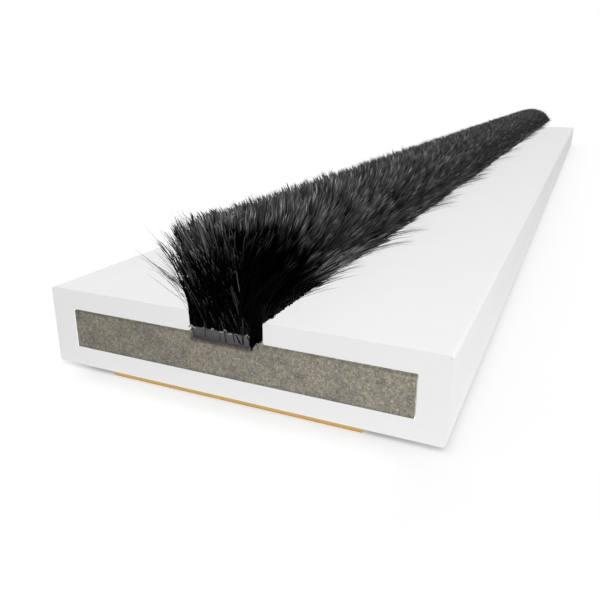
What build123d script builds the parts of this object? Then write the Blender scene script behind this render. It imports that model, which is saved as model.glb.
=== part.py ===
"""Self-adhesive fire and smoke seal with a brush pile, for the edge of a door or its frame.

A white extruded casing of C section holds a bar of intumescent material. A narrow woven strip with a
dense black pile is bedded in the top of that bar, and its pile stands out through the casing's slot
and fans open. Double-sided tape under the casing, with its release liner, fixes the seal in a groove.

Millimetres. X runs across the seal, Y along it and Z up. The origin is at the middle of the underside.
"""

import os
from math import atan2, cos, degrees, radians, sin, tan

from build123d import *

# Casing
length = 150.0
casing_width = 20.0
casing_height = 4.0
side_wall = 1.3
floor_wall = 1.0
lip_wall = 1.0
slot_width = 3.75
outer_edge_radius = 0.2
inner_edge_radius = 0.05
lip_edge_radius = 0.1

# Intumescent bar and the bed for the woven strip
core_clearance = 0.05
bed_depth = 0.3
bed_clearance = 0.06
bed_edge_radius = 0.12

# Woven strip that carries the pile
backing_gap = 0.38
backing_offset = -0.25
backing_thickness = 0.55
backing_edge_radius = 0.2

# Pile
pile_length = 5.35
lip_relief_angle = 4.0
neck_clearance = 0.06
root_inset = 0.05
tuft_rows = 9
tuft_pitch = 1.2
tuft_height = 1.15
tuft_gap_angle = 2.0
tuft_tip_width = 0.16
row_depth = 0.35
end_splay = 1.9
end_rib_start = 1.3
end_rib_depth = 0.25

# Tape and release liner
tape_width = 13.0
tape_thickness = 0.12
liner_thickness = 0.06

# Heights of the faces on which one piece sits on the next
tape_bottom = liner_thickness
casing_bottom = tape_bottom + tape_thickness
cavity_floor = casing_bottom + floor_wall
casing_top = casing_bottom + casing_height
cavity_top = casing_top - lip_wall
core_top = cavity_top - core_clearance
bed_floor = core_top - bed_depth
backing_top = bed_floor + backing_thickness

# Widths that follow from the casing
cavity_width = casing_width - 2 * side_wall
backing_width = slot_width - 2 * backing_gap
bed_width = backing_width + 2 * bed_clearance


def make_casing():
    """One extrusion: a flat tube with a slot along the middle of its top wall."""
    with BuildPart() as casing:
        with BuildSketch(Plane.XZ):
            with Locations((0, casing_bottom)):
                Rectangle(casing_width, casing_height, align=(Align.CENTER, Align.MIN))
            with Locations((0, cavity_floor)):
                Rectangle(
                    cavity_width,
                    cavity_top - cavity_floor,
                    align=(Align.CENTER, Align.MIN),
                    mode=Mode.SUBTRACT,
                )
            with Locations((0, cavity_top)):
                Rectangle(slot_width, lip_wall, align=(Align.CENTER, Align.MIN), mode=Mode.SUBTRACT)
        extrude(amount=length / 2, both=True)
        long_edges = casing.edges().filter_by(Axis.Y)
        on_sides = long_edges.filter_by(lambda e: abs(abs(e.center().X) - casing_width / 2) < 0.01)
        fillet(on_sides, outer_edge_radius)
        long_edges = casing.edges().filter_by(Axis.Y)
        in_cavity = long_edges.filter_by(lambda e: abs(abs(e.center().X) - cavity_width / 2) < 0.01)
        fillet(in_cavity, inner_edge_radius)
        long_edges = casing.edges().filter_by(Axis.Y)
        on_lips = long_edges.filter_by(lambda e: abs(abs(e.center().X) - slot_width / 2) < 0.01)
        fillet(on_lips, lip_edge_radius)
    casing.part.label = "casing"
    return casing.part


def make_core():
    """Bar of intumescent material, slid into the casing, with a shallow bed along its top."""
    with BuildPart() as core:
        with BuildSketch(Plane.XZ):
            with Locations((0, cavity_floor)):
                Rectangle(
                    cavity_width - 2 * core_clearance,
                    core_top - cavity_floor,
                    align=(Align.CENTER, Align.MIN),
                )
        extrude(amount=length / 2, both=True)
        fillet(core.edges().filter_by(Axis.Y), inner_edge_radius)
        with BuildSketch(Plane.XZ):
            with Locations((backing_offset, bed_floor)):
                Rectangle(bed_width, bed_depth, align=(Align.CENTER, Align.MIN))
        extrude(amount=length / 2, both=True, mode=Mode.SUBTRACT)
        top_edges = core.edges().filter_by(Axis.Y).group_by(Axis.Z)[-1]
        fillet(top_edges.filter_by(lambda e: abs(e.center().X) < bed_width), bed_edge_radius)
    core.part.label = "intumescent_core"
    return core.part


def make_backing():
    """Woven strip, pressed into the bed a little to one side, with its lower edges rounded."""
    with BuildPart() as backing:
        with BuildSketch(Plane.XZ):
            with Locations((backing_offset, bed_floor)):
                Rectangle(backing_width, backing_thickness, align=(Align.CENTER, Align.MIN))
        extrude(amount=length / 2, both=True)
        fillet(backing.edges().filter_by(Axis.Y).group_by(Axis.Z)[0], backing_edge_radius)
    backing.part.label = "brush_backing"
    return backing.part


# The pile fans out about a line along the middle of the woven strip's top. A place in the fan is its
# radius from that line and its lean from upright. The lips of the slot set how far the fan opens.
fan_plane = Plane(origin=(0, 0, backing_top), x_dir=(1, 0, 0), z_dir=(0, -1, 0))
lip_rise = casing_top - backing_top
neck_half = slot_width / 2 - neck_clearance
fan_half_angle = degrees(atan2(neck_half, lip_rise)) - lip_relief_angle
valley_radius = pile_length - tuft_height
packed_radius = valley_radius - row_depth
row_step = 2 * fan_half_angle / tuft_rows
row_half_angle = (row_step - tuft_gap_angle) / 2


def fan_point(radius, lean):
    """A place in the fan's cross-section: across and up from the root line."""
    return (radius * sin(radians(lean)), radius * cos(radians(lean)))


def end_at(radius):
    """How far from the middle the pile's end stands at a radius. It splays beyond the casing."""
    rise = max(radius - lip_rise, 0) / (pile_length - lip_rise)
    return length / 2 + end_splay * rise


def make_packed_pile():
    """The dense lower part of the pile: it fills the slot, then opens into a fan with flared ends."""
    root_half = backing_width / 2 - root_inset
    with BuildPart() as packed:
        with BuildSketch(fan_plane):
            with BuildLine():
                left = fan_point(packed_radius, -fan_half_angle)
                right = fan_point(packed_radius, fan_half_angle)
                ThreePointArc(left, (0, packed_radius), right)
                Polyline(
                    right,
                    (neck_half, lip_rise),
                    (backing_offset + root_half, 0),
                    (backing_offset - root_half, 0),
                    (-neck_half, lip_rise),
                    left,
                )
            make_face()
        extrude(amount=length / 2 + end_splay, both=True)
        with BuildSketch(Plane(origin=(0, 0, backing_top), x_dir=(0, 1, 0), z_dir=(1, 0, 0))):
            with BuildLine():
                Polyline(
                    (-length / 2, 0),
                    (length / 2, 0),
                    (length / 2, lip_rise),
                    (end_at(pile_length), pile_length),
                    (-end_at(pile_length), pile_length),
                    (-length / 2, lip_rise),
                    close=True,
                )
            make_face()
        revolve(
            axis=Axis((0, 0, backing_top), (0, 1, 0)),
            revolution_arc=360,
            mode=Mode.INTERSECT,
        )
    return packed.part


def tuft_tip(row, number, count):
    """Where one tuft ends, along and out. Tufts are uneven, and those near the ends lean outwards."""
    drift = sin(7.3 * number + 2.1 * row)
    reach = sin(4.7 * number + 3.7 * row)
    share = 2 * (number + 0.5) / count - 1
    along = share * end_at(pile_length) + 0.2 * tuft_pitch * drift
    return along, pile_length - 0.12 * tuft_height * (1 + reach)


def make_tuft_row(row):
    """A row of tufts: a long wedge with a sharp ridge, cut to a comb, with a rib down each end."""
    lean = (row + 0.5) * row_step - fan_half_angle
    count = round(2 * end_at(pile_length) / tuft_pitch)
    comb = [(end_at(end_rib_start) + end_rib_depth, end_rib_start)]
    comb.append((end_at(valley_radius) + end_rib_depth, valley_radius))
    for number in range(count - 1, -1, -1):
        comb.append(tuft_tip(row, number, count))
        valley = 2 * number / count - 1
        if number:
            comb.append((valley * end_at(valley_radius), valley_radius))
    comb.append((-end_at(valley_radius) - end_rib_depth, valley_radius))
    comb.append((-end_at(end_rib_start) - end_rib_depth, end_rib_start))
    inner_radius = packed_radius - row_depth / 2
    comb.append((-end_at(end_rib_start) + end_rib_depth, end_rib_start))
    comb.append((-end_at(inner_radius) + end_rib_depth, inner_radius))
    comb.append((end_at(inner_radius) - end_rib_depth, inner_radius))
    comb.append((end_at(end_rib_start) - end_rib_depth, end_rib_start))
    across = Vector(cos(radians(lean)), 0, -sin(radians(lean)))
    out = Vector(sin(radians(lean)), 0, cos(radians(lean)))
    shoulder = valley_radius * tan(radians(row_half_angle))
    foot = end_rib_start * tan(radians(row_half_angle))
    with BuildPart() as tufts:
        wedge_plane = Plane(origin=(0, 0, backing_top), x_dir=across, z_dir=across.cross(out))
        with BuildSketch(wedge_plane):
            with BuildLine():
                Polyline(
                    (-foot, end_rib_start),
                    (foot, end_rib_start),
                    (shoulder, valley_radius),
                    (tuft_tip_width / 2, pile_length),
                    (-tuft_tip_width / 2, pile_length),
                    (-shoulder, valley_radius),
                    close=True,
                )
            make_face()
        extrude(amount=length / 2 + 2 * end_splay, both=True)
        comb_plane = Plane(origin=(0, 0, backing_top), x_dir=(0, 1, 0), z_dir=Vector(0, 1, 0).cross(out))
        with BuildSketch(comb_plane):
            with BuildLine():
                Polyline(*comb, close=True)
            make_face()
        extrude(amount=2 * shoulder, both=True, mode=Mode.INTERSECT)
    return tufts.part


def make_pile():
    """The whole pile as one body: the packed fan with its rows of tufts."""
    rows = [make_tuft_row(row) for row in range(tuft_rows)]
    with BuildPart() as pile:
        add(make_packed_pile())
        add(rows)
    pile.part.label = "brush_pile"
    return pile.part


def make_strip(width, thickness, bottom, label):
    """A thin flat strip along the underside."""
    with BuildPart() as strip:
        with Locations((0, 0, bottom)):
            Box(width, length, thickness, align=(Align.CENTER, Align.CENTER, Align.MIN))
    strip.part.label = label
    return strip.part


pieces = [
    make_casing(),
    make_core(),
    make_backing(),
    make_pile(),
    make_strip(tape_width, tape_thickness, tape_bottom, "adhesive_tape"),
    make_strip(tape_width, liner_thickness, 0, "release_liner"),
]

os.makedirs("parts", exist_ok=True)
for piece in pieces:
    export_step(piece, f"parts/{piece.label}.step")
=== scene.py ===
"""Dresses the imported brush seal: its bristles, woven strip, bar, casing and tape, in a white studio.

Lengths are in metres, as in the frame. X runs across the seal, Y along it and Z up.
"""

from math import cos, pi, radians, sin

import bpy
import numpy as np
from bpy.props import FloatProperty, FloatVectorProperty, IntProperty, PointerProperty
from mathutils import Matrix, Vector


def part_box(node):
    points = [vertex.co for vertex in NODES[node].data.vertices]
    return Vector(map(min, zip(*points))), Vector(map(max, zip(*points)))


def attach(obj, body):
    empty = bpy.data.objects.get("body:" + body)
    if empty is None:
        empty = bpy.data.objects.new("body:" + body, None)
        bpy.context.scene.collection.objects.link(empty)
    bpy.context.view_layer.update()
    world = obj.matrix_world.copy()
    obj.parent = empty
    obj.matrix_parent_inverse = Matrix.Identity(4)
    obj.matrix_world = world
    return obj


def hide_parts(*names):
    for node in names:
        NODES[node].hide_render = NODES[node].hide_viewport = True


bl_info = {
    "name": "Intumescent brush seal",
    "version": (1, 0, 0),
    "blender": (4, 5, 0),
    "location": "View3D > Sidebar > Brush seal",
    "description": "Grows the pile of a brush seal and finishes its casing, bar, woven strip and tape",
    "category": "Object",
}

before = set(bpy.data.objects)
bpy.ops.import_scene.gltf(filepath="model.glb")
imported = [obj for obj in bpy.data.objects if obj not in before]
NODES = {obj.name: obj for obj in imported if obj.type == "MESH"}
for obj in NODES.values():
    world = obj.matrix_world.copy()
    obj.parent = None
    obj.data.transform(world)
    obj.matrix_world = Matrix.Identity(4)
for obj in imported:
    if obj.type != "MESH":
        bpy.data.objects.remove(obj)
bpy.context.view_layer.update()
BODY = "root"
MM = 0.001
DEGREE = radians(1)

# Places on the solids that the new surfaces keep to
STRIP_LOW, STRIP_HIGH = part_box("brush_backing")
CORE_LOW, CORE_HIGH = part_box("intumescent_core")
_, CASING_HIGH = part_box("casing")
STRIP_MIDDLE = (STRIP_HIGH.x + STRIP_LOW.x) / 2
STRIP_HALF = (STRIP_HIGH.x - STRIP_LOW.x) / 2
SLOT_HALF = 1.875 * MM
END = STRIP_HIGH.y
ROOT_HEIGHT = STRIP_HIGH.z
LIP_RISE = CASING_HIGH.z - ROOT_HEIGHT

# The strip's top rises this much at its cut ends
CUT_RISE = 0.12 * MM

# Pieces that the pile is divided into, and the loose bristles that are added at the first end
PILE_PIECES = 6
FIRST_STRAYS = 170
FIRST_LENGTH = 5 * MM
LOOSE_GLINT = 0.9

# Where a bristle's rings stand, from its root to its tip. Those that hardly show have the fewest.
INNER_STEPS = (0, 0.93)
OUTER_STEPS = (0, 0.32, 0.92)
END_STEPS = (0, 0.15, 0.35, 0.65, 0.93)
STRAY_STEPS = (0, 0.15, 0.35, 0.6, 0.85)
FRONT_STEPS = (0, 0.2, 0.4, 0.7, 0.93)
SIDE_STEPS = (0, 0.15, 0.3, 0.5, 0.7, 0.85)
LOOP_STEPS = (0, 0.25, 0.5, 0.75)

# Numbers that every point of a bristle carries for its material: its growth, from which the material paints
# shade deep in the pile, its tone, and its glint, the place of its painted highlight
NUMBERS = ("growth", "tone", "glint")

# The bake map has a column for each pair of these levels of tone and glint, and growth runs up it
LEVELS = 16
TONES = (0.12, 3.2)
GLINTS = (0.66, 1.08)
FULL_GROWTH = 1.15
MAP_MARGIN = 0.002

CAMERA_PLACE = Vector((13.399, -96.892, 13.814)) * MM
FILLS = (
    ("top_fill", (0, 0, 1), 0.455),
    ("right_front_fill", (1, -1, 0.3), 0.59),
    ("right_back_fill", (1, 1, 0.3), 0.36),
    ("left_front_fill", (-1, -1, 0.3), 0.31),
    ("left_back_fill", (-1, 1, 0.3), 0.6),
)


def linear(red, green, blue):
    """The linear colour of an sRGB colour that is written in the numbers 0 to 255."""
    share = np.array([red, green, blue]) / 255
    low = share / 12.92
    high = ((share + 0.055) / 1.055) ** 2.4
    return tuple(float(v) for v in np.where(share <= 0.04045, low, high))


class PileSettings(bpy.types.PropertyGroup):
    """Sizes and colours of the pile."""

    tuft_pitch: FloatProperty(
        name="Tuft pitch", description="Distance between tufts", default=0.56 * MM, unit="LENGTH"
    )
    tufts_across: IntProperty(name="Tufts across", description="Tufts side by side in the slot", default=13)
    strands: IntProperty(name="Strands", description="Strands that each tuft parts into", default=7)
    bristles: IntProperty(name="Bristles", description="Bristles in each strand", default=3)
    diameter: FloatProperty(
        name="Bristle diameter", description="Thickness at the root", default=0.085 * MM, unit="LENGTH"
    )
    reach: FloatProperty(
        name="Reach", description="From the root line to the trimmed tips", default=5.36 * MM, unit="LENGTH"
    )
    fan: FloatProperty(
        name="Fan", description="Lean of the outermost bristles", default=60 * DEGREE, subtype="ANGLE"
    )
    end_splay: FloatProperty(
        name="End splay", description="How far the end bristles stand out", default=2.3 * MM, unit="LENGTH"
    )
    strays: IntProperty(name="Strays", description="Loose bristles in each piece of the pile", default=250)
    seed: IntProperty(name="Seed", description="Start of the random numbers", default=11)
    # Painted light: the grey that the lit tips show
    lit_tip_color: FloatVectorProperty(
        name="Tip colour", description="Bristles at their tips", default=(0.1, 0.1, 0.101), subtype="COLOR"
    )
    # Painted shade: the black deep in the pile, at the roots
    root_shade_color: FloatVectorProperty(
        name="Root colour", description="Bristles at their roots", default=(0.0006,) * 3, subtype="COLOR"
    )


class BodySettings(bpy.types.PropertyGroup):
    """Colours of the casing, the bar, the woven strip and the tape."""

    casing_color: FloatVectorProperty(
        name="Casing", description="White of the casing", default=(0.86, 0.86, 0.862), subtype="COLOR"
    )
    bar_color: FloatVectorProperty(
        name="Bar", description="Main colour of the bar", default=linear(144, 139, 125), subtype="COLOR"
    )
    bar_shade: FloatVectorProperty(
        name="Bar shade", description="Duller patches", default=linear(119, 118, 114), subtype="COLOR"
    )
    flake_color: FloatVectorProperty(
        name="Flakes", description="Pale flakes in the bar", default=linear(184, 180, 165), subtype="COLOR"
    )
    grit_color: FloatVectorProperty(
        name="Grit", description="Dark grit in the bar", default=linear(98, 92, 80), subtype="COLOR"
    )
    strip_color: FloatVectorProperty(
        name="Woven strip", description="Grey of the strip", default=linear(82, 80, 82), subtype="COLOR"
    )
    thread_color: FloatVectorProperty(
        name="Thread", description="Pale ends of its threads", default=linear(134, 132, 130), subtype="COLOR"
    )
    tape_color: FloatVectorProperty(
        name="Adhesive", description="Edge of the tape", default=linear(198, 166, 108), subtype="COLOR"
    )
    liner_color: FloatVectorProperty(
        name="Liner", description="Amber of the liner", default=linear(190, 144, 72), subtype="COLOR"
    )


class StageSettings(bpy.types.PropertyGroup):
    """Camera, floor and lights."""

    azimuth: FloatProperty(
        name="Azimuth", description="Way the camera looks", default=24.08 * DEGREE, subtype="ANGLE"
    )
    elevation: FloatProperty(
        name="Elevation", description="Camera's look down", default=19.17 * DEGREE, subtype="ANGLE"
    )
    roll: FloatProperty(name="Roll", description="Camera's roll", default=0.43 * DEGREE, subtype="ANGLE")
    lens: FloatProperty(name="Lens", description="Focal length in millimetres", default=37.25)
    sky: FloatProperty(name="Sky", description="Strength of the white surroundings", default=0.08)
    floor_size: FloatProperty(name="Floor", description="Width of the floor", default=6.0, unit="LENGTH")


def new_object(name, points, faces, smooth=True, corners=None):
    """A mesh object from an array of points and a list of faces, with its origin at the frame's.

    corners holds a place on the bake map for every corner of every face, in the order of the faces.
    """
    mesh = bpy.data.meshes.new(name)
    mesh.from_pydata(points.tolist(), [], faces)
    mesh.polygons.foreach_set("use_smooth", np.full(len(mesh.polygons), smooth))
    if corners is not None:
        mesh.uv_layers.new(name="OFBake").data.foreach_set("uv", corners.astype(np.float32).reshape(-1))
    mesh.update()
    piece = bpy.data.objects.new(name, mesh)
    bpy.context.scene.collection.objects.link(piece)
    return piece


def add_attribute(piece, name, values):
    """One number for each point of a mesh."""
    attribute = piece.data.attributes.new(name, "FLOAT", "POINT")
    attribute.data.foreach_set("value", np.asarray(values, np.float32))


class Nodes:
    """A small helper that adds nodes to a tree and links them."""

    def __init__(self, tree):
        self.tree = tree

    def add(self, kind, inputs=None, **properties):
        """A node with its properties set. An input is a value, or a socket to link from."""
        node = self.tree.nodes.new(kind)
        for name, value in properties.items():
            setattr(node, name, value)
        for name, value in (inputs or {}).items():
            if isinstance(value, bpy.types.NodeSocket):
                self.tree.links.new(value, node.inputs[name])
            else:
                node.inputs[name].default_value = value
        return node

    def math(self, operation, first, second=0.0, third=0.0, clamp=False):
        """One sum on numbers."""
        inputs = {0: first, 1: second, 2: third}
        return self.add("ShaderNodeMath", inputs, operation=operation, use_clamp=clamp).outputs[0]

    def line(self, value, factor, start):
        """A number times a factor, and a start added."""
        return self.math("MULTIPLY_ADD", value, factor, start)

    def scaled(self, color, share):
        """A colour times a number."""
        return self.add("ShaderNodeVectorMath", {0: color, "Scale": share}, operation="SCALE").outputs[0]

    def mix(self, factor, first, second):
        """One colour mixed into another."""
        return self.add("ShaderNodeMix", {0: factor, 6: first, 7: second}, data_type="RGBA").outputs[2]

    def ramp(self, value, low, high):
        """A number taken from 0 at low to 1 at high, with soft ends."""
        inputs = {"Value": value, "From Min": low, "From Max": high}
        return self.add("ShaderNodeMapRange", inputs, interpolation_type="SMOOTHSTEP").outputs[0]

    def coordinates(self, stretch=(1.0, 1.0, 1.0)):
        """Object coordinates in millimetres, stretched."""
        place = self.add("ShaderNodeTexCoord").outputs["Object"]
        scale = tuple(value / MM for value in stretch)
        return self.add("ShaderNodeMapping", {"Vector": place, "Scale": scale}).outputs[0]

    def axes(self):
        """The three object coordinates in millimetres, apart."""
        return self.add("ShaderNodeSeparateXYZ", {"Vector": self.coordinates()}).outputs

    def noise(self, place, scale=1.0, detail=2.0):
        """Soft noise from 0 to 1."""
        inputs = {"Vector": place, "Scale": scale, "Detail": detail}
        return self.add("ShaderNodeTexNoise", inputs).outputs["Fac"]


def rgba(color):
    """A colour with full alpha."""
    return (color[0], color[1], color[2], 1.0)


def new_material(name, roughness, specular):
    """An empty material with a Principled shader. Returns it with its helper and its shader."""
    material = bpy.data.materials.new(name)
    material.use_nodes = True
    nodes = Nodes(material.node_tree)
    shader = material.node_tree.nodes["Principled BSDF"]
    shader.inputs["Roughness"].default_value = roughness
    shader.inputs["Specular IOR Level"].default_value = specular
    return material, nodes, shader


def finish_material(nodes, shader, color, height=None, depth=0.0, roughness=None):
    """Links colour, bump and roughness to the shader."""
    nodes.tree.links.new(color, shader.inputs["Base Color"])
    if height is not None:
        bump = nodes.add("ShaderNodeBump", {"Height": height, "Distance": depth, "Strength": 1.0})
        nodes.tree.links.new(bump.outputs[0], shader.inputs["Normal"])
    if roughness is not None:
        nodes.tree.links.new(roughness, shader.inputs["Roughness"])


def mottle_group():
    """Node group that clouds a colour lightly and gives a fine height, for moulded and coated surfaces."""
    name = "fine_mottle"
    if name in bpy.data.node_groups:
        return bpy.data.node_groups[name]
    group = bpy.data.node_groups.new(name, "ShaderNodeTree")
    for label, kind, way in (
        ("Vector", "NodeSocketVector", "INPUT"),
        ("Color", "NodeSocketColor", "INPUT"),
        ("Scale", "NodeSocketFloat", "INPUT"),
        ("Amount", "NodeSocketFloat", "INPUT"),
        ("Color", "NodeSocketColor", "OUTPUT"),
        ("Height", "NodeSocketFloat", "OUTPUT"),
    ):
        group.interface.new_socket(name=label, in_out=way, socket_type=kind)
    nodes = Nodes(group)
    inside = nodes.add("NodeGroupInput").outputs
    outside = nodes.add("NodeGroupOutput").inputs
    cloud = nodes.noise(inside["Vector"], inside["Scale"], 4.0)
    swing = nodes.math("MULTIPLY", nodes.math("SUBTRACT", cloud, 0.5), inside["Amount"])
    clouded = nodes.scaled(inside["Color"], nodes.math("ADD", swing, 1.0))
    group.links.new(clouded, outside["Color"])
    group.links.new(cloud, outside["Height"])
    return group


def mottle(nodes, place, color, scale, amount):
    """The mottle group in a material. Returns its colour and its height."""
    inputs = {"Vector": place, "Color": rgba(color), "Scale": scale, "Amount": amount}
    outputs = nodes.add("ShaderNodeGroup", inputs, node_tree=mottle_group()).outputs
    return outputs["Color"], outputs["Height"]


def casing_material(color):
    """Satin white extruded plastic, with faint draw lines along its length and painted shade on its rounded
    top edges.
    """
    material, nodes, shader = new_material("white_extrusion", 0.42, 0.0)
    lines = nodes.noise(nodes.coordinates((9.0, 0.05, 9.0)))
    base, cloud = mottle(nodes, nodes.coordinates(), color, 0.35, 0.03)
    x, _, z = nodes.axes()
    side = CASING_HIGH.x / MM
    top = CASING_HIGH.z / MM
    # Painted shade on the rounded top edges, which the top and side lights would otherwise make brighter than
    # the faces
    out = nodes.ramp(nodes.math("ABSOLUTE", x), side - 0.2, side - 0.05)
    edge = nodes.math("MULTIPLY", out, nodes.ramp(z, top - 0.22, top - 0.1))
    shade = nodes.math("SUBTRACT", nodes.line(lines, 0.018, 0.991), nodes.math("MULTIPLY", edge, 0.13))
    fine = nodes.noise(nodes.coordinates(), 14.0)
    relief = nodes.line(lines, 0.6, nodes.math("MULTIPLY", fine, 0.4))
    rough = nodes.line(cloud, 0.12, 0.36)
    finish_material(nodes, shader, nodes.scaled(base, shade), relief, 0.004 * MM, rough)
    return material


def bar_material(body):
    """Pressed mineral bar: a dull olive grey ground with duller patches, fine pale flakes and dark grit.

    Painted light makes it a little lighter from one side to the other. Painted shade darkens its top
    and bottom edges, where it meets the casing, and the rim of the bed, by distance from the strip's
    cross-section.
    """
    material, nodes, shader = new_material("pressed_mineral", 0.85, 0.2)
    place = nodes.coordinates()
    x, _, z = nodes.axes()
    patches = nodes.ramp(nodes.noise(place, 1.0, 6.0), 0.42, 0.66)
    ground = nodes.mix(nodes.math("MULTIPLY", patches, 0.7), rgba(body.bar_color), rgba(body.bar_shade))
    grain = nodes.noise(place, 10.0, 4.0)
    clots = nodes.ramp(nodes.noise(place, 4.2, 3.0), 0.35, 0.65)
    tone = nodes.line(clots, 0.28, nodes.line(nodes.ramp(grain, 0.32, 0.68), 0.46, 0.58))
    pale = nodes.ramp(nodes.noise(nodes.coordinates((8.0, 4.0, 6.0)), 1.0, 3.0), 0.56, 0.7)
    color = nodes.mix(nodes.math("MULTIPLY", pale, 0.7), nodes.scaled(ground, tone), rgba(body.flake_color))
    dark = nodes.ramp(nodes.noise(nodes.coordinates((8.3, 9.1, 7.7))), 0.6, 0.76)
    color = nodes.mix(nodes.math("MULTIPLY", dark, 0.6), color, rgba(body.grit_color))
    top = CORE_HIGH.z / MM
    low = CORE_LOW.z / MM
    # Painted shade along the top and bottom edges, where the bar meets the casing
    rim_shade = nodes.math("ADD", nodes.ramp(z, top - 0.16, top), nodes.ramp(z, low + 0.16, low))
    # Painted shade round the bed, by distance from the strip's cross-section
    aside = nodes.math("ABSOLUTE", nodes.math("SUBTRACT", x, STRIP_MIDDLE / MM))
    over = nodes.math("MAXIMUM", nodes.math("SUBTRACT", aside, STRIP_HALF / MM), 0.0)
    under = nodes.math("MAXIMUM", nodes.math("SUBTRACT", STRIP_LOW.z / MM, z), 0.0)
    away = nodes.math("ADD", nodes.math("POWER", over, 2.0), nodes.math("POWER", under, 2.0))
    bed_shade = nodes.math("MULTIPLY", nodes.ramp(nodes.math("SQRT", away), 0.2, 0.04), 2.2)
    shade = nodes.line(nodes.math("MAXIMUM", rim_shade, bed_shade), -0.28, 1.0)
    # Painted light: lighter towards +X, as the light is stronger on that side
    shade = nodes.math("MULTIPLY", shade, nodes.line(nodes.ramp(x, -8.5, 8.5), 0.27, 0.85))
    relief = nodes.line(grain, 0.6, nodes.math("MULTIPLY", pale, 0.4))
    finish_material(nodes, shader, nodes.scaled(color, shade), relief, 0.02 * MM)
    return material


def strip_material(color):
    """Grey yarn, with a fine twist across the threads."""
    material, nodes, shader = new_material("grey_yarn", 0.8, 0.2)
    base, _ = mottle(nodes, nodes.coordinates(), color, 2.2, 0.5)
    twist = nodes.noise(nodes.coordinates((18.0, 6.0, 12.0)))
    finish_material(nodes, shader, nodes.scaled(base, nodes.line(twist, 0.7, 0.62)), twist, 0.02 * MM)
    return material


def coated_material(name, color, roughness, scale, amount):
    """A dull, slightly uneven finish of one colour, for the adhesive and for the pale thread ends."""
    material, nodes, shader = new_material(name, roughness, 0.3)
    base, cloud = mottle(nodes, nodes.coordinates(), color, scale, amount)
    finish_material(nodes, shader, base, cloud, 0.01 * MM)
    return material


def liner_material(color):
    """Waxed amber liner with paper fibres."""
    material, nodes, shader = new_material("waxed_liner", 0.45, 0.4)
    fibres = nodes.noise(nodes.coordinates((3.0, 0.7, 3.0)), 1.0, 4.0)
    base, _ = mottle(nodes, nodes.coordinates(), color, 0.6, 0.12)
    finish_material(nodes, shader, nodes.scaled(base, nodes.line(fibres, 0.16, 0.92)), fibres, 0.006 * MM)
    return material


def pile_material(pile):
    """Black bristles: painted shade deep in the pile, painted light greyer to the tip, a tone and a painted
    glint each.
    """
    material, nodes, shader = new_material("black_bristle", 0.5, 0.02)
    growth, tone, glint = (
        nodes.add("ShaderNodeAttribute", attribute_name=name).outputs["Fac"] for name in NUMBERS
    )
    # Painted shade deep in the pile, where growth is low, turning to painted light towards the tips
    color = nodes.mix(nodes.ramp(growth, 0.75, 0.98), rgba(pile.root_shade_color), rgba(pile.lit_tip_color))
    # Painted highlight: a band about each bristle's glint place, brighter than the rest of it
    away = nodes.math("ABSOLUTE", nodes.math("SUBTRACT", growth, glint))
    level = nodes.line(nodes.ramp(away, 0.0, 0.17), -0.8, 1.3)
    finish_material(nodes, shader, nodes.scaled(color, nodes.math("MULTIPLY", tone, level)))
    return material


def paint(name, material):
    """Gives a CAD node its finish."""
    node = NODES[name]
    if not node.data.materials:
        node.data.materials.append(material)
    for number in range(len(node.material_slots)):
        node.material_slots[number].material = material


def held_in(line):
    """Bristle places held in by the lips.

    Up to the lips' tops a place stays within the slot, and above them over a slope that rises
    outwards from the slot's edge.
    """
    above = np.maximum(line[..., 2] - CASING_HIGH.z - 0.04 * MM, 0)
    limit = (SLOT_HALF - 0.045 * MM + 2.5 * above)[..., None]
    return np.concatenate([np.clip(line[..., :1], -limit, limit), line[..., 1:]], axis=-1)


def ring_faces(rings, around):
    """The four-sided faces between closed rings of points that follow on one another."""
    here = np.arange(rings - 1)[:, None] * around + np.arange(around)[None, :]
    beside = np.arange(rings - 1)[:, None] * around + (np.arange(around)[None, :] + 1) % around
    return np.stack([here, beside, beside + around, here + around], axis=2).reshape(-1, 4)


def level_of(values, low, high):
    """The nearest of the levels between low and high, counted from 0."""
    return np.clip(np.round((LEVELS - 1) * (values - low) / (high - low)), 0, LEVELS - 1)


def map_corners(growth, column, quads, triangles, sides):
    """Places of the faces' corners on the bake map: the sides of a rod lie side by side in its column."""
    left, middle, right = 0.1, 0.5, 0.9
    side = np.arange(sides)[:, None]
    on_quads = (np.tile(side, (len(quads) // sides, 1)) + np.array([[left, right, right, left]])) / sides
    on_tips = (side + np.array([[left, right, middle]])) / sides
    on_roots = np.tile(np.array([[left, middle, right]]), (sides - 2, 1))
    corners = []
    for shares, loop in ((on_quads, quads), (np.concatenate([on_tips, on_roots]), triangles)):
        u = (column[:, None, None] + shares[None]) / LEVELS ** 2
        v = growth[:, loop.reshape(-1)].reshape(len(growth), *loop.shape) / FULL_GROWTH
        corners.append(np.stack([u, np.clip(v, MAP_MARGIN, 1 - MAP_MARGIN)], axis=3).reshape(-1, 2))
    return np.concatenate(corners)


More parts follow.
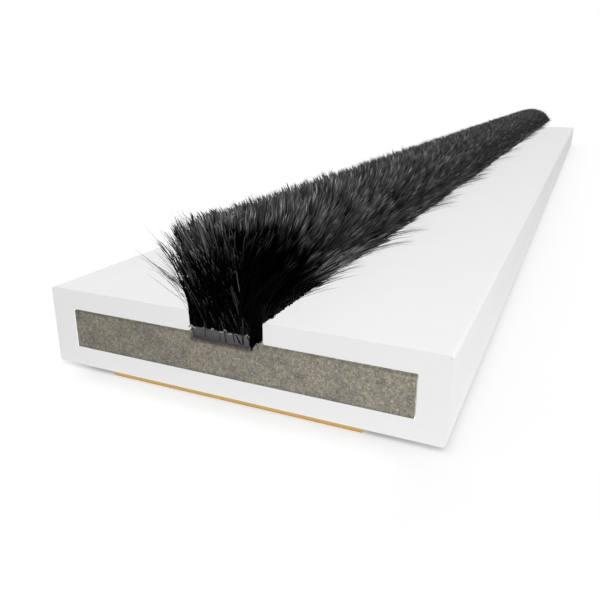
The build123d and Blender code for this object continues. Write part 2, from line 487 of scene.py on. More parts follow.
def bristle_rods(bristles, steps, sides):
    """Bristles as tapered rods along curves, all worked out at once.

    A bristle's middle line is a parabola: (1-t)^2 root + 2t(1-t) knee + t^2 tip. At each of the steps
    t a ring stands square to the line, with a radius that shrinks as t^2, up to a short pointed tip.
    Returns the points, the four-sided and three-sided faces, three numbers for each point, which are
    its growth (its share of the pile's depth, from which the material paints shade) and its bristle's
    tone and glint (where along it the painted highlight lies), and the places of the faces' corners on
    the bake map.
    """
    root, knee, tip, radius = (bristles[name] for name in ("root", "knee", "tip", "radius"))
    count = len(root)
    rings = len(steps)
    steps = np.array(steps)
    t = steps[None, :, None]
    line = held_in((1 - t) ** 2 * root[:, None] + 2 * t * (1 - t) * knee[:, None] + t ** 2 * tip[:, None])
    along = 2 * (1 - t) * (knee - root)[:, None] + 2 * t * (tip - knee)[:, None]
    along /= np.linalg.norm(along, axis=2, keepdims=True)
    side = np.cross(along, np.array([0.31, 0.95, 0.11]))
    side /= np.linalg.norm(side, axis=2, keepdims=True)
    other = np.cross(along, side)
    turn = 2 * pi * np.arange(sides) / sides
    width = radius[:, None] * (1 - 0.25 * steps[None, :] ** 2)
    ring = side[:, :, None] * np.cos(turn)[None, None, :, None]
    ring = ring + other[:, :, None] * np.sin(turn)[None, None, :, None]
    ring = line[:, :, None] + ring * width[:, :, None, None]
    points = np.concatenate([ring.reshape(count, rings * sides, 3), tip[:, None]], axis=1)
    size = rings * sides + 1
    last = (rings - 1) * sides
    quads = ring_faces(rings, sides)
    pointed = [[last + n, last + (n + 1) % sides, rings * sides] for n in range(sides)]
    closing = [[0, n + 1, n] for n in range(1, sides - 1)]
    triangles = np.array(pointed + closing)
    start = (np.arange(count) * size)[:, None, None]
    faces = [(start + shape[None]).reshape(-1, shape.shape[1]) for shape in (quads, triangles)]
    climb = np.concatenate([np.repeat(steps, sides), [1.0]])
    growth = bristles["foot"][:, None] + (bristles["depth"] - bristles["foot"])[:, None] * climb[None, :]
    tone_level = level_of(np.log(bristles["tone"] / TONES[0]), 0.0, np.log(TONES[1] / TONES[0]))
    glint_level = level_of(bristles["glint"], *GLINTS)
    tone = TONES[0] * (TONES[1] / TONES[0]) ** (tone_level / (LEVELS - 1))
    glint = GLINTS[0] + (GLINTS[1] - GLINTS[0]) * glint_level / (LEVELS - 1)
    numbers = (growth.reshape(-1), np.repeat(tone, size), np.repeat(glint, size))
    corners = map_corners(growth, LEVELS * tone_level + glint_level, quads, triangles, sides)
    return points.reshape(-1, 3), faces, numbers, corners


def bristle_mesh(name, groups, sides=3):
    """One piece from several groups of bristles, each with its own steps."""
    rods = [bristle_rods(bristles, steps, sides) for bristles, steps in groups]
    points, _, numbers, corners = zip(*rods)
    faces = []
    start = 0
    for own_points, own_faces, _, _ in rods:
        for shape in own_faces:
            faces += (shape + start).tolist()
        start += len(own_points)
    piece = new_object(name, np.concatenate(points), faces, corners=np.concatenate(corners))
    for label, values in zip(NUMBERS, zip(*numbers)):
        add_attribute(piece, label, np.concatenate(values))
    return piece


def lock(seed, across, y, pitch):
    """A soft wave over the pile, from -1 to 1: four sines of place with phases of their own."""
    waves = np.random.default_rng(seed)
    total = 0.0
    for _ in range(4):
        way = waves.uniform(0, 2 * pi)
        phase = waves.uniform(0, 2 * pi)
        stretch = waves.uniform(0.7, 1.5)
        total = total + np.sin(2 * pi * stretch * (across * cos(way) + y * sin(way)) / pitch + phase)
    return total / 2.8


def end_share(y):
    """How near a bristle is to the two cut ends: 1 at the end, less with distance from it."""
    ends = (y + END, END - y)
    return [0.62 * np.exp(-away / (0.8 * MM)) + 0.38 * np.exp(-away / (3.2 * MM)) for away in ends]


def soft_step(value):
    """0 below 0, 1 above 1 and a smooth rise between."""
    value = np.clip(value, 0, 1)
    return value * value * (3 - 2 * value)


def bristle_set(pile, share, y, lean, reach, shift, sag, radius, tone, glint):
    """Root, knee and tip of bristles that stand in the slot and fan out.

    share is the root's place across the strip from -1 to 1, lean the tip's angle from upright, reach
    its distance from the root line and shift how far the tip moves along the seal. The tip stands
    reach times the sine of lean aside and reach times its cosine up, and sag moves the knee. The
    outermost bristles stand beside the strip. At both ends the tips splay outwards. Near the first
    end the left half stands up, and the right half leans less. Painted shade darkens that right half
    by counting it as deeper, and painted light lightens the left half near that end and the right
    flank further along by counting them as shallower.
    """
    near, far = end_share(y)
    beside = np.clip((np.abs(share) - 0.9) / 0.1, 0, 1)
    root_x = STRIP_MIDDLE + np.clip(share / 0.9, -1, 1) * (STRIP_HALF - 0.06 * MM)
    root_x = root_x + (np.sign(share) * (SLOT_HALF - 0.05 * MM) - root_x) * np.sqrt(beside)
    root_z = ROOT_HEIGHT - 0.2 * MM * np.sqrt(beside)
    root = np.stack([root_x, y, root_z], axis=1)
    left = 1 - 0.25 * soft_step(-lean / (5 * DEGREE)) - 0.5 * soft_step(-lean / (40 * DEGREE))
    shift = shift + pile.end_splay * (far - near) * np.cos(lean) ** 2 * left
    turned = 7.0 * MM
    stand = 0.42 + 0.58 * soft_step((y + shift + END) / turned)
    lean = lean * np.where(lean < 0, stand, 1 - 0.11 * np.exp(-(((y + END) / turned) ** 4)))
    tip = np.stack([reach * np.sin(lean), y + shift, ROOT_HEIGHT + reach * np.cos(lean)], axis=1)
    upright = np.where(share < 0, 1 - stand, 0)
    rise = np.maximum((0.42 + 0.6 * upright) * (tip[:, 2] - ROOT_HEIGHT), 1.45 * MM)
    knee_x = (0.8 - 0.24 * upright) * share * SLOT_HALF + 0.05 * tip[:, 0]
    knee = np.stack([knee_x, y + 0.3 * shift, ROOT_HEIGHT + rise], axis=1) + sag
    # Painted shade and light through the depth that the colour reads: darker for the right half near the
    # first end, lighter for its left half there and for the right flank further along
    first = np.exp(-(((y + END) / (2.6 * MM)) ** 2))
    dark = 0.19 * soft_step((lean + 2 * DEGREE) / (22 * DEGREE)) - 0.22 * soft_step(-lean / (16 * DEGREE))
    dark = first * dark - 0.08 * (1 - first) * soft_step((lean - 22 * DEGREE) / (28 * DEGREE))
    return {
        "root": root,
        "knee": knee,
        "tip": tip,
        "radius": radius,
        "foot": np.zeros_like(y),
        "depth": reach / pile.reach - dark,
        "tone": tone,
        "glint": glint,
    }


def tufted_bristles(pile, low, length, rng):
    """The trimmed bristles of one length: tufts that part into pointed strands of a few bristles.

    The tufts stand in a staggered grid, each moved a little. A strand's bristles have roots apart and
    tips together. Lean follows the tip's place across, and three soft waves comb the lean, the shift
    and the length. Half of the strands are cut short and get painted shade, as they lie under the
    others. Near the first end the strands are wilder and more ragged, painted light makes them paler,
    and their bristles part.
    """
    columns = round(length / pile.tuft_pitch)
    shape = (columns, pile.tufts_across, pile.strands, pile.bristles)
    tuft = shape[:2] + (1, 1)
    strand = shape[:3] + (1,)
    column = np.arange(columns)[:, None, None, None]
    across = np.arange(pile.tufts_across)[None, :, None, None]
    pitch = 2 / pile.tufts_across
    y_tuft = low + (column + 0.25 + 0.5 * (across % 2) + 0.3 * rng.uniform(-1, 1, tuft)) * length / columns
    share_tuft = pitch * (across + 0.5 + 0.3 * rng.uniform(-1, 1, tuft)) - 1
    share = share_tuft + pitch * (0.6 * rng.uniform(-1, 1, strand) + 0.25 * rng.uniform(-1, 1, shape))
    y = y_tuft + pile.tuft_pitch * (0.5 * rng.uniform(-1, 1, strand) + 0.12 * rng.uniform(-1, 1, shape))
    share_tip = share_tuft + 0.8 * pitch * rng.uniform(-1, 1, strand) + 0.006 * rng.normal(0, 1, shape)
    arc = pile.reach * pile.fan * share_tip
    comb_across = lock(3, arc, y_tuft, 3.2 * MM)
    comb_along = lock(4, arc, y_tuft, 2.6 * MM)
    comb_length = lock(5, arc, y_tuft, 1.7 * MM)
    near, far = end_share(y_tuft)
    parted = np.exp(-(y_tuft + END) / (5 * MM))
    wild = rng.normal(0, 1, strand) * (1 + near)
    combed = soft_step((share_tip - 0.2) / 0.6)
    lean = pile.fan * share_tip + DEGREE * (5.5 * wild * (1 - 0.5 * combed) + 1.8 * comb_across)
    lean = np.clip(lean, -pile.fan - 2 * DEGREE, pile.fan)
    lean = lean + 0.6 * DEGREE * (1 + 2.5 * parted) * rng.normal(0, 1, shape)
    drift = rng.normal(0, 1, strand) * (1 + 0.5 * near)
    steady = 0.4 * combed + 0.5 * near * (share_tip < -0.2)
    loose = 0.04 + 0.08 * parted
    shift = MM * (0.42 * drift * (1 - steady) + loose * rng.normal(0, 1, shape) + 0.2 * comb_along)
    under = rng.random(strand) < 0.48 + 0.08 * near
    ragged = 0.095 + 0.12 * near * (share_tip < -0.1)
    cut = 0.009 * comb_length - ragged * rng.random(strand) ** 1.2 - 0.02 * rng.random(shape)
    cut = cut + 0.03 * (rng.random(strand) < 0.1)
    cut = (cut - under * rng.uniform(0.08, 0.24, strand) * (1 + 0.7 * near)) * (1 - 0.3 * combed)
    reach = pile.reach * (1.01 + cut + 0.02 * near - 0.06 * far)
    uneven = 0.56 + 0.16 * near
    tone = np.clip(0.65 * np.exp(uneven * rng.normal(0, 1, strand)), 0.15, 2.4)
    tone = tone * (1 + (0.28 + 0.3 * parted) * rng.uniform(-1, 1, shape))
    # Painted shade on the short strands that lie under the others, less at the left of the first end
    shaded = under * (0.7 - 0.3 * near * (share_tip < -0.2))
    tone = tone * (1 - shaded) * (1 + 0.08 * comb_length) * (1 - 0.4 * combed)
    # Painted shade on the combed right flank near the first end
    tone = tone * (1 - 0.35 * combed * np.exp(-(y_tuft + END) / (12 * MM)))
    # Painted light raises the tone near the first end, and the tone is lowered a little far from that end
    tone = tone * (1 + 0.65 * near - 0.15 * soft_step((y_tuft + END) / (50 * MM)))
    glint = rng.uniform(0.78, 1.02, strand) + (0.02 + 0.08 * parted) * rng.normal(0, 1, shape)
    names = (share, y, lean, reach, shift, tone, glint)
    share, y, lean, reach, shift, tone, glint = (np.broadcast_to(a, shape).reshape(-1) for a in names)
    y = np.clip(y, -END + 0.05 * MM, END - 0.05 * MM)
    share = np.clip(share, -1, 1)
    radius = pile.diameter / 2 * rng.uniform(0.85, 1.15, len(y))
    sag = MM * np.array([0.35, 0.35, 0.1]) * rng.normal(0, 1, strand + (3,))
    sag = np.broadcast_to(sag, shape + (3,)).reshape(-1, 3).copy()
    sag[:, 0] *= 1 - 0.85 * np.abs(share)
    bristles = bristle_set(pile, share, y, lean, reach, shift, sag, radius, tone, glint)
    # Where each strand's painted shade gives way to grey near the first end: moved at random, and lower for
    # strands that lean right, which darkens them
    start = 0.06 * parted * rng.normal(0, 1, strand) - 0.05 * parted * soft_step((share_tip - 0.35) / 0.4)
    start = np.broadcast_to(start, shape).reshape(-1)
    bristles["depth"] = bristles["depth"] + start
    return bristles


def stray_bristles(pile, low, length, rng, count):
    """Loose bristles in wisps at both flanks, which lie lower and reach further than the trimmed ones."""
    wisps = count // 7
    wisp = rng.integers(0, wisps, count)
    side = np.where(rng.random(wisps) < 0.4, -1, 1)[wisp]
    y = rng.uniform(low, low + length, wisps)[wisp] + 0.5 * MM * rng.normal(0, 1, count)
    y = np.clip(y, low + 0.05 * MM, low + length - 0.05 * MM)
    share = side * rng.uniform(0.8, 0.99, count)
    lean = side * DEGREE * (rng.uniform(58, 69, wisps)[wisp] + 1.6 * rng.normal(0, 1, count))
    reach = pile.reach * (rng.uniform(0.93, 1.1, wisps)[wisp] + 0.03 * rng.normal(0, 1, count))
    shift = MM * (0.5 * rng.normal(0, 1, wisps)[wisp] + 0.15 * rng.normal(0, 1, count))
    radius = pile.diameter / 2 * rng.uniform(0.22, 0.4, count)
    tone = rng.uniform(0.8, 2.6, count)
    sag = MM * 0.12 * rng.normal(0, 1, (count, 3))
    return bristle_set(pile, share, y, lean, reach, shift, sag, radius, tone, np.full(count, LOOSE_GLINT))


def end_bristles(pile, rng):
    """Bristles in front of the first cut end: upright ones, and thin ones that cross the others.

    Three in eight stand beside the strip at its right, and start lower. Two in eight cross the pile
    at a slant, and a few thin ones hang over the strip. Each stands forward by 0.28 of its height.
    """
    count = 160
    place = np.arange(count) % 8
    right = place < 3
    crossing = place > 5
    x = np.where(right, rng.uniform(1.28, 1.8, count), rng.uniform(-1.65, 1.3, count)) * MM
    hanging = 0.5 * ((rng.random(count) < 0.12) & ~right)
    low = np.where(right, 0.24 + 0.4 * np.exp(-((x / MM - 1.3) ** 2) / 0.04), hanging)
    drop = low * rng.uniform(0.6, 1.1, count)
    y = -END - MM * rng.uniform(0.05, 0.12, count)
    foot_x = x + MM * drop * np.where(right, 0.0, rng.uniform(-0.4, 1.1, count))
    root = np.stack([foot_x, y, ROOT_HEIGHT + CUT_RISE - drop * MM], axis=1)
    height = MM * np.where(crossing, rng.uniform(2.2, 4.6, count), rng.uniform(1.6, 4.4, count))
    aside = np.where(right, rng.uniform(0.1, 0.9, count), rng.uniform(-0.7, 0.3, count))
    slant = rng.uniform(-0.62, -0.12, count) * np.clip((x / MM + 2.3) / 2.6, 0.15, 1)
    aside = np.where(crossing, slant * height / MM, aside)
    tip = np.stack([x + MM * aside, y - 0.28 * height, ROOT_HEIGHT + height], axis=1)
    knee = np.stack([x + 0.3 * MM * aside, y - 0.1 * MM, ROOT_HEIGHT + 0.45 * height], axis=1)
    over = hanging > 0
    thin = crossing | over
    thickness = np.where(thin, rng.uniform(0.4, 0.75, count), rng.uniform(0.6, 1, count))
    return {
        "root": root,
        "knee": knee,
        "tip": tip,
        "radius": pile.diameter / 2 * thickness,
        "foot": np.where(thin, 0.8, 0.0),
        "depth": np.where(thin, rng.uniform(0.82, 0.92, count), height / pile.reach),
        "tone": np.where(crossing, rng.uniform(0.35, 1.0, count), np.where(over, 1.3, 0.6)),
        "glint": np.where(thin, rng.uniform(0.7, 0.85, count), LOOSE_GLINT),
    }


def front_bristles(pile, rng):
    """Bristles of many lengths at the first end, in strands of two, with their tips in sight.

    Some stand along the left edge of the fan, where they rise upright out of the slot and then flare
    along one slanting line. The others stand in front of the pile and lean with the place they are in.
    They stand less far forward at the left, and at the right painted shade fades them into the dark of the
    pile.
    """
    strands = 560
    strand = np.repeat(np.arange(strands), 2)
    count = len(strand)
    edge = strand % 5 < 2

    def even(low, high):
        """Evenly spread numbers, one for each strand."""
        return rng.uniform(low, high, strands)[strand]

    def varied():
        """Numbers that gather about 0, one for each strand."""
        return rng.normal(0, 1, strands)[strand]

    depth_in = np.where(edge, even(-0.1, 2.4), even(-0.12, 0.25))
    y = -END + MM * (depth_in + 0.04 * rng.normal(0, 1, count))
    y = np.maximum(y, -END - 0.12 * MM)
    share = np.where(edge, even(0.5, 0.98), even(0.6, 1.0))
    reach = pile.reach * (share + 0.02 * rng.normal(0, 1, count))
    at_edge = np.clip(-26 + 5.5 * varied(), -39, -16)
    in_front = 40 * rng.random(strands)[strand] ** 1.4 - 24 + 4.5 * varied()
    lean = DEGREE * (np.where(edge, at_edge, in_front) + 1.2 * rng.normal(0, 1, count))
    near, _ = end_share(y)
    out = pile.end_splay * 0.65 * reach / pile.reach * np.cos(lean) ** 2 * near
    forward = np.where(edge, 0.2, 1 - 0.6 * soft_step(-(lean + 8 * DEGREE) / (16 * DEGREE)))
    along = MM * np.where(edge, 0.3 * varied(), even(-0.3, 0.05)) - forward * out
    rise = reach * np.cos(lean)
    tip_x = reach * np.sin(lean)
    tip_x = np.where(edge, np.minimum(tip_x, -1.5 * MM), tip_x)
    tip = np.stack([tip_x, y + along, ROOT_HEIGHT + rise], axis=1)
    in_line = np.clip(1.6 * lean / (36 * DEGREE) + 0.3 * varied(), -1.7, 1.7)
    root_x = MM * np.where(edge, rng.uniform(-1.8, -1.2, count), in_line)
    root_z = ROOT_HEIGHT + np.where(y < -END + 0.06 * MM, CUT_RISE, -0.1 * MM)
    knee_x = np.where(edge, root_x + 0.3 * MM, root_x + 0.2 * (tip_x - root_x))
    knee = np.stack([knee_x, y + 0.25 * along, ROOT_HEIGHT + 0.66 * rise], axis=1)
    knee = knee + 0.12 * MM * rng.normal(0, 1, (strands, 3))[strand]
    tone = np.clip(0.95 * np.exp(0.75 * varied()), 0.12, 2.6)
    # Painted shade on those that lean right, fading them into the dark of the pile
    tone = tone * (1 - 0.7 * soft_step((lean + 14 * DEGREE) / (20 * DEGREE)))
    return {
        "root": np.stack([root_x, y, root_z], axis=1),
        "knee": knee,
        "tip": tip,
        "radius": pile.diameter / 2 * rng.uniform(0.45, 0.75, count),
        "foot": even(0.3, 0.6),
        "depth": even(0.82, 1.0),
        "tone": tone * rng.uniform(0.7, 1.3, count),
        "glint": even(0.75, 1.0),
    }


def side_bristles(pile, rng):
    """Bristles that stray out to the left at the first end: four wisps, and thin ones on their own.

    They are placed as the others are, but with a low knee, so that they leave the slot at a slant.
    """
    count = 56
    wisp_leans = np.array([72, 92, 116, 138])
    wisp = np.minimum(np.arange(count) // 6, len(wisp_leans))
    single = wisp == len(wisp_leans)
    y = -END + MM * np.where(single, rng.uniform(0.05, 1.6, count), rng.uniform(0.1, 1.6, 5)[wisp])
    y = y + 0.05 * MM * rng.normal(0, 1, count)
    share = rng.uniform(-0.99, -0.9, count)
    lean = np.where(single, rng.uniform(90, 150, count), np.append(wisp_leans, 0)[wisp])
    lean = -DEGREE * (lean + 1.5 * rng.normal(0, 1, count))
    reach = pile.reach * np.where(single, rng.uniform(0.82, 1.14, count), rng.uniform(0.78, 0.95, count))
    shift = MM * 0.3 * rng.normal(0, 1, count) * np.where(single, 1, 0.35)
    sag = MM * np.array([0.15, 0.15, 0.25]) * rng.normal(0, 1, (count, 3))
    sag = sag * np.where(single, 1, 0.4)[:, None]
    thickness = np.where(single, rng.uniform(0.18, 0.34, count), rng.uniform(0.25, 0.5, count))
    radius = pile.diameter / 2 * thickness
    tone = np.where(single, 2.4, rng.uniform(0.6, 1.8, count))
    bristles = bristle_set(pile, share, y, lean, reach, shift, sag, radius, tone, np.full(count, LOOSE_GLINT))
    knee, tip = bristles["knee"], bristles["tip"]
    knee[:, 0] = 0.3 * tip[:, 0] - 0.6 * MM + sag[:, 0]
    knee[:, 2] = ROOT_HEIGHT + 0.5 * (tip[:, 2] - ROOT_HEIGHT) + sag[:, 2]
    return bristles


def chosen(bristles, mask):
    """Some of a set of bristles."""
    return {name: values[mask] for name, values in bristles.items()}


def thinned_left(pile, bristles, rng):
    """Leaves strands out at the left of the first end, where the pile is sparse."""
    strand = np.arange(len(bristles["tone"])) // pile.bristles
    out = soft_step((-1.0 * MM - bristles["tip"][:, 0]) / (0.7 * MM))
    first = soft_step(1 - (bristles["root"][:, 1] + END) / (3.2 * MM))
    kept = rng.random(strand[-1] + 1)[strand] > 0.78 * out * first
    return chosen(bristles, kept)


def pile_piece(pile, number, rng):
    """One length of the pile. Bristles that show from root to tip get more rings than the rest."""
    length = 2 * END / PILE_PIECES
    low = -END + number * length
    trimmed = tufted_bristles(pile, low, length, rng)
    if number == 0:
        trimmed = thinned_left(pile, trimmed, rng)
    at_end = END - np.abs(trimmed["root"][:, 1]) < 1.2 * MM
    run = trimmed["tip"] - trimmed["root"]
    at_lip = np.abs(trimmed["root"][:, 0] + run[:, 0] * LIP_RISE / run[:, 2])
    outer = (at_lip > SLOT_HALF - 0.12 * MM) & ~at_end
    groups = [
        (chosen(trimmed, ~at_end & ~outer), INNER_STEPS),
        (chosen(trimmed, outer), OUTER_STEPS),
        (chosen(trimmed, at_end), END_STEPS),
        (stray_bristles(pile, low, length, rng, pile.strays), STRAY_STEPS),
    ]
    return bristle_mesh(f"pile_length_{number + 1}", groups)


def cut_end_piece(pile, rng):
    """The bristles that stand in front of the first cut end and beside it."""
    groups = [
        (end_bristles(pile, rng), FRONT_STEPS),
        (front_bristles(pile, rng), FRONT_STEPS),
        (stray_bristles(pile, -END, FIRST_LENGTH, rng, FIRST_STRAYS), STRAY_STEPS),
        (side_bristles(pile, rng), SIDE_STEPS),
    ]
    return bristle_mesh("pile_cut_end", groups)


def strip_mesh():
    """The woven strip as one closed surface.

    Each ring is a rounded rectangle, a circle whose sine and cosine are raised to a low power. Threads
    along the strip swell it outwards as a cosine round the ring, and every other pick along the strip
    swaps crests for hollows, as in a plain weave. At each cut end its top rises as a bell curve, where
    the threads have sprung open.
    """
    pick = 0.75 * MM
    ripple = 0.018 * MM
    thread_count = 14
    around = 28
    half_x = STRIP_HALF - ripple
    half_z = (STRIP_HIGH.z - STRIP_LOW.z) / 2 - ripple
    middle_z = (STRIP_HIGH.z + STRIP_LOW.z) / 2
    rings = 2 * round(2 * END / pick)
    squareness = 0.34
    angle = 2 * pi * np.linspace(0, 1, around, endpoint=False)
    x = half_x * np.sign(np.cos(angle)) * np.abs(np.cos(angle)) ** squareness
    z = half_z * np.sign(np.sin(angle)) * np.abs(np.sin(angle)) ** squareness
    y = np.linspace(-END, END, rings + 1)
    wave = np.cos(thread_count * angle)[None, :] * np.cos(pi * y / pick)[:, None]
    swell = 1 + ripple * wave / half_z
    sprung = CUT_RISE * np.exp(-(((END - np.abs(y)) / (0.6 * MM)) ** 2))[:, None] * (z > 0)
    points = np.stack(
        [
            STRIP_MIDDLE + np.broadcast_to(x, swell.shape) + ripple * wave * np.cos(angle),
            np.broadcast_to(y[:, None], swell.shape),
            middle_z + z * swell + sprung,
        ],
        axis=2,
    )
    faces = ring_faces(rings + 1, around).tolist()
    faces.append(list(range(around))[::-1])
    faces.append([rings * around + n for n in range(around)])
    return new_object("woven_strip", points.reshape(-1, 3), faces)


def thread_loops(rng):
    """Thread loops along the top edge of the strip's two cut ends.

    Each is a short rod along a parabola that starts and ends level and rises between.
    """
    at_one_end = 9
    count = 2 * at_one_end
    share = np.linspace(-0.93, 0.9, at_one_end) + 0.1 * rng.normal(0, 1, at_one_end)
    x = np.tile(STRIP_MIDDLE + STRIP_HALF * np.clip(share, -0.95, 0.95), 2)
    way = np.repeat([-1.0, 1.0], at_one_end)
    half = MM * rng.uniform(0.04, 0.12, count)
    y = way * (END + MM * rng.uniform(0.1, 0.16, count))
    z = ROOT_HEIGHT + CUT_RISE - MM * rng.uniform(0.02, 0.08, count)
    rise = MM * 0.4 * rng.random(count) ** 2
    return {
        "root": np.stack([x - half, y, z], axis=1),
        "knee": np.stack([x, y, z + rise], axis=1),
        "tip": np.stack([x + half, y, z], axis=1),
        "radius": MM * rng.uniform(0.025, 0.05, count),
        "foot": np.zeros(count),
        "depth": np.ones(count),
        "tone": np.ones(count),
        "glint": np.ones(count),
    }


class SEAL_OT_casing(bpy.types.Operator):
    """Finish the casing as satin white extruded plastic"""

    bl_idname = "seal.casing"
    bl_label = "Casing"

    def execute(self, context):
        paint("casing", casing_material(context.scene.seal_body.casing_color))
        return {"FINISHED"}


class SEAL_OT_bar(bpy.types.Operator):
    """Finish the intumescent bar as pressed mineral with flakes and grit"""

    bl_idname = "seal.bar"
    bl_label = "Intumescent bar"

    def execute(self, context):
        paint("intumescent_core", bar_material(context.scene.seal_body))
        return {"FINISHED"}


class SEAL_OT_strip(bpy.types.Operator):
    """Weave the strip that carries the pile"""

    bl_idname = "seal.strip"
    bl_label = "Woven strip"

    def execute(self, context):
        body = context.scene.seal_body
        strip = strip_mesh()
        strip.data.materials.append(strip_material(body.strip_color))
        loops = thread_loops(np.random.default_rng(5))
        loops = bristle_mesh("thread_loops", [(loops, LOOP_STEPS)], sides=6)
        loops.data.materials.append(coated_material("pale_thread", body.thread_color, 0.7, 9.0, 0.6))
        for part in (strip, loops):
            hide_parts("brush_backing")
            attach(part, BODY)
        return {"FINISHED"}


class SEAL_OT_pile(bpy.types.Operator):
    """Grow the bristles of the pile"""

    bl_idname = "seal.pile"
    bl_label = "Pile"

    def execute(self, context):
        pile = context.scene.seal_pile
        material = pile_material(pile)
        rng = np.random.default_rng(pile.seed)
        pieces = [pile_piece(pile, number, rng) for number in range(PILE_PIECES)]
        pieces.append(cut_end_piece(pile, rng))
        for piece in pieces:
            piece.data.materials.append(material)
            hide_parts("brush_pile")
            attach(piece, BODY)
        return {"FINISHED"}


class SEAL_OT_tape(bpy.types.Operator):
    """Finish the adhesive tape and its release liner"""

    bl_idname = "seal.tape"
    bl_label = "Tape and liner"

    def execute(self, context):
        body = context.scene.seal_body
        paint("adhesive_tape", coated_material("adhesive_coat", body.tape_color, 0.6, 3.0, 0.2))
        paint("release_liner", liner_material(body.liner_color))
        return {"FINISHED"}


def seen_white(nodes):
    """1 for rays that see the surroundings: from the camera, in a reflection or through a piece."""
    path = nodes.add("ShaderNodeLightPath")
    seen = nodes.math("MAXIMUM", path.outputs["Is Camera Ray"], path.outputs["Is Glossy Ray"])
    return nodes.math("MAXIMUM", seen, path.outputs["Is Transmission Ray"])


def floor_material(sky):
    """White floor. The camera sees it as bright as the background, except in the shade of the seal.

    The shade is of two widths. The narrow one is weaker at the left end and gone on the lit side,
    where the wide one is stronger.
    """
    white = 0.6
    material, nodes, shader = new_material("studio_floor", 0.9, 0.0)
    shader.inputs["Base Color"].default_value = (white, white, white, 1)
    seen = seen_white(nodes)
    close = nodes.add("ShaderNodeAmbientOcclusion", {"Distance": 2.1 * MM}, samples=8).outputs["AO"]
    wide = nodes.add("ShaderNodeAmbientOcclusion", {"Distance": 9.0 * MM}, samples=8).outputs["AO"]
    x, _, _ = nodes.axes()
    lit_side = nodes.ramp(x, 6.5, 10.2)
    left_end = nodes.ramp(x, -7.2, -10.0)
    near_weight = nodes.line(lit_side, -0.63, nodes.line(left_end, -0.5, 0.66))
    near_shade = nodes.math("MULTIPLY", nodes.math("SUBTRACT", 1.0, close), near_weight)
    far_shade = nodes.math("MULTIPLY", nodes.math("SUBTRACT", 1.0, wide), nodes.line(lit_side, 0.46, 0.07))
    shade = nodes.math("ADD", near_shade, far_shade, clamp=True)
    open_sky = nodes.math("SUBTRACT", 1.0, shade)
    glow = nodes.math("MULTIPLY", nodes.math("MULTIPLY", seen, open_sky), 1.005 - white * sky)
    shader.inputs["Emission Color"].default_value = (1, 1, 1, 1)
    nodes.tree.links.new(glow, shader.inputs["Emission Strength"])
    return material


def set_world(strength):
    """White surroundings at a plain level. The camera sees them as full white."""
    world = bpy.data.worlds.new("studio")
    world.use_nodes = True
    nodes = Nodes(world.node_tree)
    background = world.node_tree.nodes["Background"]
    background.inputs["Color"].default_value = (1, 1, 1, 1)
    seen = seen_white(nodes)
    level = nodes.line(seen, 1.0 - strength, strength)
    world.node_tree.links.new(level, background.inputs["Strength"])
    bpy.context.scene.world = world


def add_light(name, kind, place, turned, lit):
    """A soft light without hard shadows that lights what the collection holds."""
    data = bpy.data.lights.new(name, kind)
    data.use_shadow = False
    lamp = bpy.data.objects.new(name, data)
    lamp.location = place
    lamp.rotation_euler = turned.to_euler()
    lamp.light_linking.receiver_collection = lit
    bpy.context.scene.collection.objects.link(lamp)
    return lamp


def add_lamp(name, place, target, size, power, lit):
    """A soft square lamp."""
    way = Vector(target) - Vector(place)
    lamp = add_light(name, "AREA", place, way.to_track_quat("-Z", "Y"), lit)
    lamp.data.size = size
    lamp.data.energy = power


def add_fill(name, direction, level, lit):
    """A broad fill light, not reflected. A white face square to it gets this share of full white."""
    lamp = add_light(name, "SUN", (0, 0, 0), Vector(direction).to_track_quat("Z", "Y"), lit)
    lamp.data.energy = pi * level
    lamp.data.angle = 8 * DEGREE
    lamp.visible_glossy = False


def add_camera(stage):
    """The camera, near the cut end, above it and to its right."""
    data = bpy.data.cameras.new("view")
    data.sensor_width = 36.0
    data.lens = stage.lens
    data.clip_start = 1 * MM
    data.clip_end = 20.0
    camera = bpy.data.objects.new("view", data)
    turned = Matrix.Rotation(stage.azimuth, 4, "Z") @ Matrix.Rotation(pi / 2 - stage.elevation, 4, "X")
    turned = turned @ Matrix.Rotation(stage.roll, 4, "Z")
    camera.matrix_world = Matrix.Translation(CAMERA_PLACE) @ turned
    bpy.context.scene.collection.objects.link(camera)
    bpy.context.scene.camera = camera


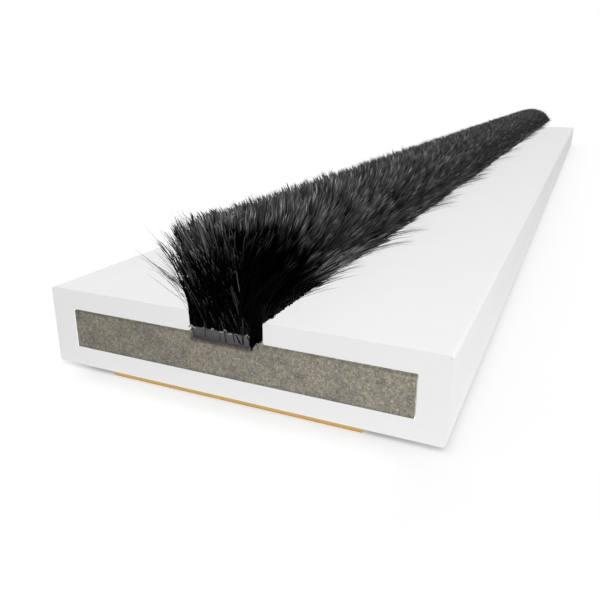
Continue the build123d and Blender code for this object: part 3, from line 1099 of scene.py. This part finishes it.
class SEAL_OT_stage(bpy.types.Operator):
    """Set up the floor, the light and the camera"""

    bl_idname = "seal.stage"
    bl_label = "Stage"

    def execute(self, context):
        stage = context.scene.seal_stage
        half = stage.floor_size / 2
        corners = np.array([[-half, -half, 0], [half, -half, 0], [half, half, 0], [-half, half, 0]])
        floor = new_object("floor", corners, [[0, 1, 2, 3]], smooth=False)
        floor.data.materials.append(floor_material(stage.sky))
        set_world(stage.sky)
        seal_only = bpy.data.collections.new("lit_by_the_fills")
        seal_only.objects.link(floor)
        seal_only.collection_objects[0].light_linking.link_state = "EXCLUDE"
        add_lamp("near_lamp", (0.06, -0.13, 0.03), (0.01, -0.075, 0.002), 0.03, 0.025, seal_only)
        for name, direction, level in FILLS:
            add_fill(name, direction, level, seal_only)
        add_camera(stage)
        bpy.context.scene.view_settings.view_transform = "Standard"
        return {"FINISHED"}


class SEAL_PT_panel(bpy.types.Panel):
    """Lists the pieces of the seal and their settings"""

    bl_idname = "SEAL_PT_panel"
    bl_label = "Brush seal"
    bl_space_type = "VIEW_3D"
    bl_region_type = "UI"
    bl_category = "Brush seal"

    def draw(self, context):
        layout = self.layout
        scene = context.scene
        for group in (scene.seal_pile, scene.seal_body, scene.seal_stage):
            box = layout.box()
            for name in group.__annotations__:
                box.prop(group, name)
        for operator in OPERATORS:
            layout.operator(operator.bl_idname)


OPERATORS = (SEAL_OT_casing, SEAL_OT_bar, SEAL_OT_strip, SEAL_OT_pile, SEAL_OT_tape, SEAL_OT_stage)
CLASSES = (PileSettings, BodySettings, StageSettings, *OPERATORS, SEAL_PT_panel)


def register():
    for item in CLASSES:
        bpy.utils.register_class(item)
    bpy.types.Scene.seal_pile = PointerProperty(type=PileSettings)
    bpy.types.Scene.seal_body = PointerProperty(type=BodySettings)
    bpy.types.Scene.seal_stage = PointerProperty(type=StageSettings)


def unregister():
    del bpy.types.Scene.seal_stage
    del bpy.types.Scene.seal_body
    del bpy.types.Scene.seal_pile
    for item in reversed(CLASSES):
        bpy.utils.unregister_class(item)


def main():
    register()
    bpy.ops.seal.casing()
    bpy.ops.seal.bar()
    bpy.ops.seal.strip()
    bpy.ops.seal.pile()
    bpy.ops.seal.tape()
    bpy.ops.seal.stage()


if __name__ == "__main__":
    main()
